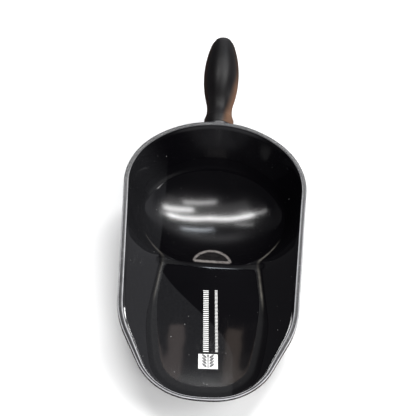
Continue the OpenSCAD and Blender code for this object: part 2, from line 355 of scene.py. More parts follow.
# how much fuller the back wall is at the handle's root, how far from the handle's axis that
# reaches, over what length it fades, and the fillet at the root
ROOT_SWELL, SWELL_REACH, SWELL_FADE, ROOT_FILLET = 4.0, 24.0, 14.0, 5.0


def outside_rows():
    """The inside surface moved out by the wall, fuller round the handle's root."""
    plan = plan_rows(OUT_FLOOR_ROWS, OUT_WALL_ROWS)
    x, y = plan[..., 0], plan[..., 1]
    p = np.stack([x, y, FLOOR_Z + bowl_height(x, y)], -1)
    n = inside_normal(x, y)
    away = axis_dist(p)
    swell = np.where(y > 0, ROOT_SWELL * ease((SWELL_REACH - away) / SWELL_FADE), 0)
    out = p - n * (WALL_T + swell)[..., None]
    near = np.clip(away - COLLAR_R, 0, ROOT_FILLET)
    rise = ROOT_FILLET - np.sqrt(ROOT_FILLET ** 2 - (ROOT_FILLET - near) ** 2)
    return out + np.where((y > 0) & (away < COLLAR_R + ROOT_FILLET), rise, 0)[..., None] * ALONG


def band_section(u):
    """The rim band's section at each place: distance in from the outer edge, and height."""
    w, f = band_width(u), face_height(u)
    section = []
    inner, outer, under = 0.5, 1.1, 0.6
    for a in np.radians([0, 30, 60, 90]):
        section.append((w - inner * (1 - math.cos(a)), -inner * (1 - math.sin(a)) + 0 * w))
    section.append(((w + outer) / 2, 0 * w))
    for a in np.radians([0, 18, 36, 54, 72, 90]):
        section.append((outer * (1 - math.sin(a)) + 0 * w, -outer * (1 - math.cos(a)) + 0 * w))
    section.append((0 * w, -(outer + f - under) / 2))
    for a in np.radians([0, 30, 60, 90]):
        section.append((under * (1 - math.cos(a)) + 0 * w, under - f - under * math.sin(a)))
    return section


def band_rows():
    rows = []
    for d, v in band_section(OUTLINE[:, 1]):
        x, u = moved_in(OUTLINE, d)
        rows.append(rim_place(x, u, v))
    return np.stack(rows, 1)


def bowl_shell():
    inside, rim, outside = inside_rows(), band_rows(), outside_rows()[:, ::-1]
    half = np.concatenate([inside, rim, outside], 1)
    n, rows = half.shape[:2]
    other = half[1:-1][::-1] * np.array([-1, 1, 1])
    loop = np.concatenate([half, other], 0)
    around = len(loop)
    points = loop.transpose(1, 0, 2).reshape(-1, 3)
    faces = []
    for r in range(rows - 1):
        for k in range(around):
            a, b = r * around + k, r * around + (k + 1) % around
            faces.append((a, b, b + around, a + around))
    last = (rows - 1) * around
    for k in range(1, n - 2):
        a, b, c, d = k, around - k, around - k - 1, k + 1
        faces.append((d, c, b, a))
        faces.append((last + a, last + b, last + c, last + d))
    faces += [(1, around - 1, 0), (n - 1, n, n - 2)]
    faces += [(last, last + around - 1, last + 1), (last + n - 2, last + n, last + n - 1)]
    shell = mesh_object("bowl_shell", in_cad_box(points), faces)
    face_outward(shell)
    mark_creases(shell, points)
    return shell


# half widths of the dull zone along the creases, of its fade, of the ridge, and of the cream line
# of dust and painted highlight along the creases
CREASE_REACH, CREASE_FADE, RIDGE_REACH, LINE_REACH = 1.9, 1.3, 3.0, 0.75
# the dull zone widens by FRONT_WIDER at the front; how dull it is beside the sump, at the front,
# at the back, and on the ridge
FRONT_WIDER = 1.4
DULL_SIDE, DULL_FRONT, DULL_BACK, DULL_RIDGE = 0.62, 0.7, 0.8, 1.1


def mark_creases(shell, points):
    """Stores how near each point is to a crease under the walls or to the ridge."""
    x, y = points[:, 0], points[:, 1]
    near = base_dist(x, y, rim_dist(x, y))
    reach = CREASE_REACH + FRONT_WIDER * toward_lip(y, -92, 30)
    crease = 1 - ease((np.abs(near) - reach) / CREASE_FADE)
    front = toward_lip(y, -12, 20) * (DULL_SIDE + DULL_FRONT * toward_lip(y, -84, 25))
    crease = crease * np.maximum(front, DULL_BACK * ease((y - 5) / 20))
    ridge = np.exp(-(((y - PANEL_TOP) / RIDGE_REACH) ** 2)) * ease((PANEL_W / 2 - np.abs(x)) / 3)
    share = np.maximum(crease, DULL_RIDGE * ridge)
    line = np.exp(-((near / LINE_REACH) ** 2))
    for name, values in (("crease", share), ("crease_line", line)):
        data = shell.data.attributes.new(name, "FLOAT", "POINT").data
        data.foreach_set("value", values.astype(np.float32))


def ring_mesh(name, rows, closed_ends=False):
    """A tube of vertex rings, each an array of points. Ends are capped, or joined to each other."""
    around = len(rows[0])
    points = np.concatenate(rows, 0)
    faces = []
    for r in range(len(rows) - (0 if closed_ends else 1)):
        s = (r + 1) % len(rows)
        for k in range(around):
            j = (k + 1) % around
            faces.append((r * around + k, r * around + j, s * around + j, s * around + k))
    if not closed_ends:
        last = (len(rows) - 1) * around
        faces.append(tuple(range(around))[::-1])
        faces.append(tuple(range(last, last + around)))
    made = mesh_object(name, in_cad_box(points), faces)
    face_outward(made)
    return made


TURN = np.linspace(0, 2 * math.pi, 97)[:-1]  # angles of a full circle's points


def foot_ring():
    """The ring the scoop stands on, faired into the round underside of the sump."""
    out_r = SPHERE_R + WALL_T
    centre = FOOT_GAP + out_r

    def under(r):
        return centre - math.sqrt(out_r ** 2 - r * r)

    bead, fair = 0.5, 2.0
    outer, inner = FOOT_R, FOOT_R - FOOT_W
    profile = []
    for a in np.radians([0, 30, 60, 90]):
        profile.append((inner + bead - bead * math.sin(a), bead - bead * math.cos(a)))
    for a in np.radians([0, 22, 45, 68, 90]):
        r = inner - fair + fair * math.cos(a)
        profile.append((r, under(r) - fair + fair * math.sin(a) if a < 1.5 else under(r) + 0.05))
    profile.append((inner - fair + 0.3, under(inner - fair + 0.3) + 1.2))
    profile.append((outer + fair - 0.3, under(outer + fair - 0.3) + 1.2))
    for a in np.radians([90, 68, 45, 22, 0]):
        r = outer + fair - fair * math.cos(a)
        profile.append((r, under(r) - fair + fair * math.sin(a) if a < 1.5 else under(r) + 0.05))
    for a in np.radians([90, 60, 30, 0]):
        profile.append((outer - bead + bead * math.sin(a), bead - bead * math.cos(a)))
    rows = [np.stack([r * np.cos(TURN), r * np.sin(TURN), 0 * TURN + z], -1) for r, z in profile]
    ring = ring_mesh("bowl_foot_ring", rows, closed_ends=True)
    sharpen(ring, 50)
    return ring


def start_in_wall(x, v):
    """Distance along the handle at which a line beside its axis starts, inside the back wall."""
    lean = math.atan2(SUMP_GAP - BEAD_W, rim_over(BACK_Y))
    normal = np.array([0, math.cos(lean), -math.sin(lean)])
    base = np.array([0, SUMP_R, FLOOR_Z]) + normal * (WALL_T + 1.4)
    p = on_handle(0 * x, x, v)
    return (base - p) @ normal / (ALONG @ normal)


def bowl_root():
    """The collar that the handle butts against and the hollow tang inside the handle."""
    soft, bore = 0.4, TANG_R - TANG_WALL
    c, s = np.cos(TURN), np.sin(TURN)
    rows = [on_handle(start_in_wall(COLLAR_R * c, COLLAR_R * s), COLLAR_R * c, COLLAR_R * s)]
    profile = [(JOINT_S - soft - 0.6, COLLAR_R), (JOINT_S - soft, COLLAR_R)]
    for a in np.radians([30, 60, 90]):
        profile.append((JOINT_S - soft + soft * math.sin(a), COLLAR_R - soft + soft * math.cos(a)))
    profile += [(JOINT_S, TANG_R + 0.3), (JOINT_S + 0.3, TANG_R), (TANG_L - 0.5, TANG_R)]
    profile += [(TANG_L, TANG_R - 0.5), (TANG_L, bore + 0.2), (TANG_L - 0.4, bore)]
    profile += [(JOINT_S + 3, bore)]
    for along, r in profile:
        rows.append(on_handle(along + 0 * TURN, r * c, r * s))
    root = ring_mesh("bowl_root", rows)
    sharpen(root, 35)
    return root


# ---------------------------------------------------------------- the handle
BEND_SUM = ((BELLY_S - NECK_S) ** 2 + (BELLY_R - NECK_R) ** 2) / (2 * (BELLY_R - NECK_R))
BEND_NECK = 0.26 * BEND_SUM
BEND_BELLY = BEND_SUM - BEND_NECK
SPARE = BEND_BELLY - (HANDLE_L - BELLY_S)
TIP_REACH = ((BEND_BELLY - BELLY_R) ** 2 + SPARE ** 2) / (2 * SPARE)
TIP_R = BEND_BELLY - TIP_REACH
TIP_S = HANDLE_L - TIP_R


def grip_curve(inset, start):
    """The handle's half section as (along, radius), from the joint to the rounded tip."""
    bite = math.sqrt((FLARE_R + inset) ** 2 - (NECK_R + FLARE_R - COLLAR_R + inset) ** 2)
    swap = NECK_S + (BELLY_S - NECK_S) * (BEND_NECK + inset) / BEND_SUM
    join = BELLY_S + (BEND_BELLY - inset) * (TIP_S - BELLY_S) / TIP_REACH
    join_a = math.asin((join - TIP_S) / (TIP_R - inset))
    curve = []
    for d in np.linspace(min(bite, NECK_S - start), 0, 14)[:-1]:
        curve.append((NECK_S - d, NECK_R + FLARE_R - math.sqrt((FLARE_R + inset) ** 2 - d * d)))
    for d in np.linspace(0, swap - NECK_S, 10)[:-1]:
        curve.append((NECK_S + d, NECK_R + BEND_NECK - math.sqrt((BEND_NECK + inset) ** 2 - d * d)))
    for s in np.linspace(swap, join, 56)[:-1]:
        d = s - BELLY_S
        curve.append((s, BELLY_R - BEND_BELLY + math.sqrt((BEND_BELLY - inset) ** 2 - d * d)))
    for a in np.linspace(join_a, math.pi / 2, 22)[:-1]:
        curve.append((TIP_S + (TIP_R - inset) * math.sin(a), (TIP_R - inset) * math.cos(a)))
    return curve


# the shells' clearance round the tang, where their hollow starts, their smallest radius at the
# tip, and how far their outer edges are eased along the split: as an angle, and in mm
TANG_FIT, HOLLOW_S, SMALLEST_R = 0.15, JOINT_S + 4, 0.02
SPLIT_ANGLE, SPLIT_EASE = 0.03, 0.3


def half_shell(name, up):
    """One half of the handle's hollow grip, with its outer edges eased along the split."""
    side = 1 if up else -1
    turn = np.concatenate([[0, 0.012, 0.03, 0.06], np.linspace(0.1, math.pi - 0.1, 61),
                           [math.pi - 0.06, math.pi - 0.03, math.pi - 0.012, math.pi]])
    from_split = np.minimum(turn, math.pi - turn)
    lip = np.clip(1 - from_split / SPLIT_ANGLE, 0, 1) ** 2 * SPLIT_EASE
    start = JOINT_S + SHELL_GAP
    outer = grip_curve(0.0, start)
    inner = [(s, max(r, TANG_R + TANG_FIT)) for s, r in grip_curve(GRIP_T, HOLLOW_S)]
    c, s_ = np.cos(turn), side * np.sin(turn)

    def ring(along, r, eased):
        q = np.maximum(r - (lip if eased else 0), SMALLEST_R)
        return on_handle(along + 0 * turn, q * c, q * s_ + side * SHELL_GAP / 2)

    soft = 0.35
    r0 = outer[0][1]
    rows = [ring(start, TANG_R + TANG_FIT, False), ring(start, r0 - soft, True)]
    rows += [ring(start + soft * (1 - math.cos(a)), r0 - soft + soft * math.sin(a), True)
             for a in np.radians([30, 60])]
    rows += [ring(max(s, start + soft), r, True) for s, r in outer]
    rows += [ring(s, SMALLEST_R, False) for s in (HANDLE_L, HANDLE_L - GRIP_T)]
    rows += [ring(s, r, False) for s, r in inner[::-1]]
    rows += [ring(HOLLOW_S, TANG_R + TANG_FIT, False)]
    around = len(turn)
    points = np.concatenate(rows, 0)
    faces = []
    count = len(rows)
    for r in range(count):
        s = (r + 1) % count
        for k in range(around - 1):
            faces.append((r * around + k, r * around + k + 1, s * around + k + 1, s * around + k))
    for k in (0, around - 1):
        faces.append(tuple(r * around + k for r in range(count)))
    made = mesh_object(name, in_cad_box(points), faces)
    bm = bmesh.new()
    bm.from_mesh(made.data)
    bmesh.ops.remove_doubles(bm, verts=bm.verts, dist=1e-6)
    bmesh.ops.dissolve_degenerate(bm, edges=bm.edges, dist=1e-6)
    bmesh.ops.recalc_face_normals(bm, faces=bm.faces)
    bm.to_mesh(made.data)
    bm.free()
    sharpen(made, 32)
    return made


def grip_at(s):
    """Outside radius of the handle at a screw."""
    belly = BELLY_R - BEND_BELLY + math.sqrt(BEND_BELLY ** 2 - (s - BELLY_S) ** 2)
    neck = NECK_R + BEND_NECK - math.sqrt(BEND_NECK ** 2 - (min(s, 50) - NECK_S) ** 2)
    return min(belly, neck)


def down_rod(name, s, profile):
    """A solid of revolution about a screw's axis: (distance below the handle's axis, radius)."""
    turn = TURN[::2]
    rows = [on_handle(s + r * np.cos(turn), r * np.sin(turn), 0 * turn - d) for d, r in profile]
    return ring_mesh(name, rows)


def lower_shell():
    shell = half_shell("handle_shell_lower", False)
    for s in SCREW_S:
        edge = grip_at(s)
        start = 0.1 if s > TANG_L else TANG_R + 0.1
        cut_or_join(shell, down_rod("post", s, [(start, BOSS_R), (edge - 1.1, BOSS_R)]), "UNION")
        bore = SCREW_HEAD_R + 0.3
        hole = [(-1, SCREW_HOLE_R), (SCREW_SEAT, SCREW_HOLE_R), (SCREW_SEAT, bore),
                (edge - 0.8, bore), (edge + 0.6, bore + 1.0), (edge + 3, bore + 1.0)]
        cut_or_join(shell, down_rod("hole", s, hole), "DIFFERENCE")
    shell.data.shade_smooth()
    sharpen(shell, 32)
    return shell


# ---------------------------------------------------------------- the printed mark
# where the mark's square is, how it is turned, how high the ink stands, and how thick it is
MARK_X, MARK_Y, MARK_TURN = 2.2, -151.3, math.radians(2.4)
MARK_LIFT, INK_T = 0.06, 0.05


def on_floor(px, py):
    """A place in the mark's own directions, put on the bowl's floor."""
    c, s = math.cos(MARK_TURN), math.sin(MARK_TURN)
    x = MARK_X + px * c - py * s
    y = MARK_Y + px * s + py * c
    z = FLOOR_Z + float(bowl_height(np.array([x]), np.array([y]))[0])
    return x, y, z


def ink_patch(points, faces, outline):
    """Adds a flat patch of ink, as thick as a print, from its outline in the mark's directions."""
    first = len(points)
    n = len(outline)
    for lift in (MARK_LIFT, MARK_LIFT - INK_T):
        for px, py in outline:
            x, y, z = on_floor(px, py)
            points.append((x, y, z + lift))
    faces.append(tuple(first + i for i in range(n)))
    faces.append(tuple(first + n + i for i in range(n))[::-1])
    for i in range(n):
        j = (i + 1) % n
        faces.append((first + j, first + i, first + n + i, first + n + j))


def bar(px, py, w, h):
    return [(px + sx * w / 2, py + sy * h / 2) for sx, sy in ((-1, -1), (1, -1), (1, 1), (-1, 1))]


def kernel(px, py, length, width, tilt):
    """A pointed oval grain."""
    c, s = math.cos(tilt), math.sin(tilt)
    outline = []
    for i in range(16):
        a = 2 * math.pi * i / 16
        q = math.cos(a) * length / 2
        r = math.sin(a) * abs(math.sin(a)) ** 0.4 * width / 2
        outline.append((px + r * c - q * s, py + r * s + q * c))
    return outline


# the white square, the two columns of bars as (middle, width, pitch), and the ear on the square
SQUARE_W, SQUARE_H = 14.2, 13.4
COLUMNS = ((-1.6, 4.0, 1.9), (6.3, 2.0, 1.35))
COLUMN_START, COLUMN_L = 9.2, 60.8
EAR_ROWS, EAR_PITCH, EAR_LIFT = 4, 2.7, 0.03
GRAIN_ASIDE, GRAIN_FOOT, GRAIN_L, GRAIN_W, GRAIN_TILT = 2.7, -3.4, 4.8, 2.0, 0.75


def printed_mark():
    """A white square and two columns of plain bars, and a dark ear of grain on the square."""
    points, faces = [], []
    ink_patch(points, faces, bar(0, 0, SQUARE_W, SQUARE_H))
    for middle, width, pitch in COLUMNS:
        for i in range(int(COLUMN_L / pitch)):
            ink_patch(points, faces, bar(middle, COLUMN_START + i * pitch, width, pitch * 0.5))
    white = mesh_object("floor_print", points, faces, smooth=False)
    points, faces = [], []
    for i in range(EAR_ROWS):
        for side in (-1, 1):
            x, y = side * GRAIN_ASIDE, GRAIN_FOOT + i * EAR_PITCH
            ink_patch(points, faces, kernel(x, y, GRAIN_L, GRAIN_W, -side * GRAIN_TILT))
    ink_patch(points, faces, kernel(0, 5.1, 2.6, 1.6, 0))
    ink_patch(points, faces, bar(0, -0.6, 0.8, 10.4))
    raised = [(x, y, z + EAR_LIFT) for x, y, z in points]
    dark = mesh_object("floor_print_ear", raised, faces, smooth=False)
    return white, dark


# ---------------------------------------------------------------- materials
class Tree:
    """A small helper that adds nodes to a material and joins them."""

    def __init__(self, name):
        self.material = bpy.data.materials.new(name)
        self.material.use_nodes = True
        self.nodes = self.material.node_tree.nodes
        self.links = self.material.node_tree.links
        self.nodes.clear()
        self.out = self.nodes.new("ShaderNodeOutputMaterial")
        self.shader = self.nodes.new("ShaderNodeBsdfPrincipled")
        self.links.new(self.shader.outputs[0], self.out.inputs[0])
        self.place = self.nodes.new("ShaderNodeTexCoord").outputs["Object"]

    def add(self, kind, values=None, **settings):
        made = self.nodes.new(kind)
        for key, value in settings.items():
            setattr(made, key, value)
        for key, value in (values or {}).items():
            if isinstance(value, bpy.types.NodeSocket):
                self.links.new(value, made.inputs[key])
            else:
                made.inputs[key].default_value = value
        return made

    def math(self, operation, a, b=0.0, clamp=False):
        made = self.add("ShaderNodeMath", {0: a, 1: b}, operation=operation, use_clamp=clamp)
        return made.outputs[0]

    def times(self, a, b):
        return self.math("MULTIPLY", a, b)

    def plus(self, a, b, clamp=False):
        return self.math("ADD", a, b, clamp)

    def minus(self, a, b):
        return self.math("SUBTRACT", a, b)

    def size(self, a):
        return self.math("ABSOLUTE", a)

    def parts(self, source=None):
        """The x, y and z of a place or direction."""
        return self.add("ShaderNodeSeparateXYZ", {0: source or self.place}).outputs

    def marked(self, name):
        """A share that is stored on the mesh's points."""
        return self.add("ShaderNodeAttribute", attribute_name=name).outputs["Fac"]

    def ramp(self, value, low, high, out_low=0.0, out_high=1.0):
        """Smoothly from out_low to out_high as value goes from low to high."""
        values = {"Value": value, "From Min": low, "From Max": high}
        made = self.add("ShaderNodeMapRange", {**values, "To Min": out_low, "To Max": out_high})
        made.interpolation_type = "SMOOTHSTEP"
        return made.outputs[0]

    def stretched(self, scale, turn=(0, 0, 0)):
        values = {"Vector": self.place, "Scale": scale, "Rotation": turn}
        return self.add("ShaderNodeMapping", values).outputs[0]

    def noise(self, scale, detail=3.0, rough=0.5, at=None):
        values = {"Vector": at or self.place, "Scale": scale, "Detail": detail, "Roughness": rough}
        return self.add("ShaderNodeTexNoise", values).outputs[0]

    def cells(self, scale):
        return self.add("ShaderNodeTexVoronoi", {"Vector": self.place, "Scale": scale})

    def blend(self, share, a, b):
        return self.add("ShaderNodeMix", {0: share, 6: a, 7: b}, data_type="RGBA").outputs[2]

    def set(self, name, value):
        socket = self.shader.inputs[name]
        if isinstance(value, bpy.types.NodeSocket):
            self.links.new(value, socket)
        else:
            socket.default_value = value

    def bump(self, height, strength, distance, under=None):
        values = {"Height": height, "Strength": strength, "Distance": distance}
        if under:
            values["Normal"] = under
        return self.add("ShaderNodeBump", values).outputs[0]


def specks(tree, scale, size, share):
    """Small round specks: 1 on a speck, 0 elsewhere. Only a share of the cells hold one."""
    cell = tree.cells(scale)
    near = tree.ramp(cell.outputs["Distance"], size, size * 0.6)
    pick = tree.add("ShaderNodeSeparateColor", {0: cell.outputs["Color"]}).outputs[0]
    return tree.times(near, tree.ramp(pick, 1 - share, 1 - share + 0.02))


def scratches(tree, turn, length, pitch, share):
    """Fine straight scuffs in one direction."""
    at = tree.stretched((1 / pitch, 1 / length, 1 / pitch), (0, 0, turn))
    line = tree.noise(1.0, 2.0, 0.4, at)
    thin = tree.ramp(tree.size(tree.minus(line, 0.5)), 0.006, 0.0)
    patch = tree.ramp(tree.noise(24.0, 1.0), 1 - share, 1 - share + 0.12)
    return tree.times(thin, patch)


def lit_side_and_dust_mask(tree):
    """The left part of the inside, painted lighter as the lit side of a cast shadow's edge that
    bends across the floor; more dust specks lie there too.
    """
    x, y = tree.parts()[0], tree.parts()[1]
    bend = tree.ramp(y, -0.050, -0.150, 0.0, 0.062)
    edge = tree.minus(tree.minus(bend, 0.0415), x)
    inward = tree.ramp(y, 0.056, 0.030)
    return tree.times(inward, tree.ramp(edge, -0.0006, 0.0006))


# the painted highlight ring at the sump's front, in metres: its middle, its radius along the scoop,
# how much narrower it is
RING_X, RING_Y, RING_R, RING_NARROW = 0.0013, -0.0485, 0.0198, 1.38


def painted_highlight_ring(tree):
    """A D-shaped ring painted pale at the sump's front, a painted highlight: an arc, a straight
    foot and a haze.
    """
    x = tree.times(tree.minus(tree.parts()[0], RING_X), RING_NARROW)
    over = tree.plus(tree.parts()[1], -RING_Y)
    away = tree.math("SQRT", tree.plus(tree.times(x, x), tree.times(over, over)))
    above = tree.ramp(over, -0.002, 0.001)
    within = tree.ramp(away, 0.0215, 0.0180)
    arc = tree.times(tree.ramp(tree.size(tree.minus(away, RING_R)), 0.0024, 0.0004), above)
    foot = tree.times(tree.ramp(tree.size(over), 0.0042, 0.0010), within)
    haze = tree.times(tree.times(within, above), 0.05)
    ring = tree.math("MAXIMUM", tree.times(arc, 0.78), foot)
    grain = tree.ramp(tree.noise(260.0, 4.0, 0.65), 0.30, 0.62, 0.35, 1.0)
    return tree.times(tree.math("MAXIMUM", ring, haze), grain)


def crease_dust_and_highlight(tree):
    """A cream line along the creases beside the sump's front and the floor panel's back: a painted
    highlight, also fine dust, paler on the right.
    """
    x, y = tree.parts()[0], tree.parts()[1]
    along = tree.times(tree.ramp(y, -0.022, -0.040), tree.ramp(y, -0.104, -0.078))
    side = tree.ramp(x, -0.02, 0.02, 0.45, 1.0)
    middle = tree.ramp(tree.size(x), 0.036, 0.041)
    grain = tree.ramp(tree.noise(150.0, 3.0), 0.3, 0.65, 0.5, 1.0)
    place = tree.times(tree.times(along, side), tree.times(middle, grain))
    return tree.times(tree.times(tree.marked("crease_line"), 0.75), place)


def bowl_plastic():
    """Glossy black plastic with light scuffs, dust specks and dull creases, and painted light: the
    left part painted lighter as the lit side of a cast shadow, a cream line painted along the
    creases as a painted highlight that is also dust, and a painted highlight ring at the sump's
    front.
    """
    t = Tree("bowl_gloss_plastic")
    lit_side_and_dust = lit_side_and_dust_mask(t)
    crease = t.marked("crease")
    cloud = t.noise(11.0, 4.0, 0.55)
    fine = t.noise(900.0, 3.0, 0.6)
    smudge = t.ramp(t.noise(38.0, 3.0, 0.6), 0.5, 0.75)
    dust = t.times(specks(t, 420.0, 0.16, 0.05), t.ramp(lit_side_and_dust, 0, 1, 0.3, 0.8))
    speck = t.math("MAXIMUM", dust, specks(t, 95.0, 0.05, 0.10))
    along, across = scratches(t, 0.35, 0.020, 0.0016, 0.33), scratches(t, -1.1, 0.016, 0.0014, 0.31)
    marks = t.math("MAXIMUM", along, across)

    dark, pale = (0.0016, 0.0015, 0.0021, 1), (0.0026, 0.0024, 0.0031, 1)
    tone = t.blend(t.ramp(cloud, 0.35, 0.65), dark, pale)
    # painted light: the left part is painted a lighter grey, the lit side of a cast shadow's edge
    painted_lit_share = t.times(lit_side_and_dust, t.ramp(fine, 0.3, 0.7, 0.55, 1.0))
    tone = t.blend(painted_lit_share, tone, (0.0125, 0.0126, 0.0138, 1))
    tone = t.blend(t.times(marks, 0.3), tone, (0.07, 0.07, 0.072, 1))
    # painted highlight, also dust: a cream line along the creases beside the sump
    tone = t.blend(crease_dust_and_highlight(t), tone, (0.17, 0.16, 0.14, 1))
    # painted highlight: the cream D-shaped ring at the sump's front
    tone = t.blend(painted_highlight_ring(t), tone, (0.30, 0.275, 0.26, 1))
    t.set("Base Color", t.blend(t.times(speck, 0.6), tone, (0.26, 0.26, 0.25, 1)))

    flat = t.add("ShaderNodeVectorMath", {0: t.place, 1: (1, 1, 0)}, operation="MULTIPLY")
    reach = t.add("ShaderNodeVectorMath", {0: flat.outputs[0]}, operation="LENGTH").outputs["Value"]
    rough = t.ramp(cloud, 0.3, 0.7, 0.026, 0.036)
    for more in (
        t.times(smudge, 0.006),
        t.times(lit_side_and_dust, 0.004),
        t.ramp(crease, 0.30, 1.0, 0.0, 0.42),
        t.ramp(t.parts()[1], 0.044, 0.060, 0.0, 0.10),
        t.ramp(reach, 0.060, 0.046, 0.0, 0.12),
        t.times(marks, 0.06),
    ):
        rough = t.plus(rough, more)
    t.set("Roughness", t.plus(rough, t.times(speck, 0.3), clamp=True))
    t.set("IOR", 1.5)
    t.set("Specular IOR Level", t.ramp(crease, 0.0, 0.5, 0.5, 0.05))
    wave = t.bump(t.noise(26.0, 2.0), 0.07, 0.0006)
    pits = t.minus(t.plus(t.times(fine, 0.02), speck), t.times(marks, 0.3))
    t.set("Normal", t.bump(pits, 0.12, 0.00008, wave))
    return t.material


def handle_plastic():
    """Black plastic with a soft sheen, duller on top, and a painted warm reflection, clay-coloured,
    on its right flank.
    """
    t = Tree("handle_gloss_plastic")
    cloud = t.noise(16.0, 4.0, 0.55)
    grain = t.noise(1400.0, 2.0, 0.5)
    rub = t.ramp(t.noise(30.0, 3.0, 0.6), 0.42, 0.7)
    marks = scratches(t, 0.2, 0.012, 0.0012, 0.36)
    dust = specks(t, 380.0, 0.15, 0.06)
    # painted reflection: the right flank is painted a warm clay colour, standing in for a warm
    # light reflected there
    slant = t.times(t.minus(t.parts()[1], 0.085), 0.20)
    painted_warm_reflection = t.ramp(t.minus(t.parts()[0], slant), 0.0015, 0.0085)
    painted_warm_reflection = t.times(painted_warm_reflection, t.ramp(t.noise(70.0, 3.0), 0.3, 0.7, 0.7, 1.0))

    dark, pale = (0.0040, 0.0037, 0.0042, 1), (0.0068, 0.0062, 0.0066, 1)
    tone = t.blend(t.ramp(cloud, 0.35, 0.65), dark, pale)
    tone = t.blend(t.times(marks, 0.4), tone, (0.08, 0.08, 0.08, 1))
    tone = t.blend(painted_warm_reflection, tone, (0.165, 0.090, 0.054, 1))
    t.set("Base Color", t.blend(t.times(dust, 0.6), tone, (0.25, 0.25, 0.24, 1)))
    rough = t.plus(t.ramp(cloud, 0.3, 0.7, 0.29, 0.35), t.times(rub, 0.06))
    t.set("Roughness", t.plus(rough, t.times(marks, 0.2), clamp=True))
    t.set("IOR", 1.5)
    up = t.parts(t.add("ShaderNodeTexCoord").outputs["Normal"])[2]
    t.set("Specular IOR Level", t.ramp(up, 0.35, 0.85, 0.5, 0.11))
    t.set("Normal", t.bump(t.minus(grain, marks), 0.12, 0.00006))
    return t.material


def rim_plastic():
    """The rim band, satin from use, with its corners painted pale: a painted highlight that also
    stands for rubbing.
    """
    t = Tree("rim_plastic_painted_highlight")
    cloud = t.noise(30.0, 4.0, 0.6)
    nick = t.ramp(t.noise(240.0, 3.0, 0.6), 0.6, 0.72)
    body = t.blend(t.ramp(cloud, 0.3, 0.7), (0.015, 0.015, 0.017, 1), (0.025, 0.025, 0.027, 1))
    # painted highlight, also wear: the rim's corners painted pale, strongest at the front
    highlight_and_rub = t.times(t.marked("edge"), t.ramp(t.noise(90.0, 3.0), 0.35, 0.6, 0.75, 1.0))
    pale = t.blend(highlight_and_rub, body, (0.55, 0.55, 0.57, 1))
    t.set("Base Color", t.blend(t.times(nick, 0.35), pale, (0.20, 0.20, 0.20, 1)))
    t.set("Roughness", t.plus(t.ramp(cloud, 0.3, 0.7, 0.22, 0.30), t.times(nick, 0.15)))
    t.set("IOR", 1.5)
    t.set("Specular IOR Level", 0.3)
    t.set("Normal", t.bump(t.plus(t.noise(700.0, 2.0), nick), 0.15, 0.0001))
    return t.material


def print_ink():
    """White ink, worn thin in places."""
    t = Tree("print_white_ink")
    wear = t.ramp(t.noise(520.0, 4.0, 0.7), 0.58, 0.75)
    tone = t.blend(t.noise(60.0), (0.70, 0.70, 0.68, 1), (0.82, 0.82, 0.81, 1))
    t.set("Base Color", t.blend(t.times(wear, 0.5), tone, (0.25, 0.25, 0.25, 1)))
    t.set("Roughness", t.ramp(wear, 0, 1, 0.32, 0.5))
    t.set("Normal", t.bump(t.noise(1500.0), 0.1, 0.00003))
    return t.material


def print_dark():
    """The dark ear of grain on the white square."""
    t = Tree("print_dark_ground")
    t.set("Base Color", t.blend(t.noise(300.0), (0.010, 0.010, 0.011, 1), (0.022, 0.022, 0.024, 1)))
    t.set("Roughness", t.ramp(t.noise(200.0), 0.3, 0.7, 0.2, 0.34))
    return t.material


def screw_steel():
    t = Tree("screw_brushed_steel")
    brushed = t.noise(60.0, 3.0, 0.6, t.stretched((1.0, 40.0, 40.0)))
    t.set("Base Color", t.blend(brushed, (0.42, 0.42, 0.43, 1), (0.66, 0.66, 0.67, 1)))
    t.set("Metallic", 1.0)
    t.set("Roughness", t.ramp(brushed, 0.3, 0.7, 0.24, 0.42))
    t.set("Normal", t.bump(brushed, 0.2, 0.00005))
    return t.material


def floor_paint():
    t = Tree("floor_pale")
    soft = t.noise(2.0, 3.0)
    t.set("Base Color", t.blend(soft, (0.90, 0.90, 0.90, 1), (0.93, 0.93, 0.925, 1)))
    t.set("Roughness", t.ramp(t.noise(14.0, 4.0), 0.3, 0.7, 0.75, 0.9))
    t.set("Normal", t.bump(t.noise(260.0, 3.0), 0.05, 0.0003))
    t.set("Specular IOR Level", 0.1)
    return t.material


# ---------------------------------------------------------------- stage, light, camera
def floor():
    """A plain pale floor. Mirror reflections pass it, so the black plastic doesn't turn grey."""
    span = 6000.0
    corners = [(-span, -span, 0), (span, -span, 0), (span, span, 0), (-span, span, 0)]
    made = mesh_object("floor", corners, [(0, 1, 2, 3)], smooth=False)
    made.data.materials.append(floor_paint())
    made.visible_glossy = False


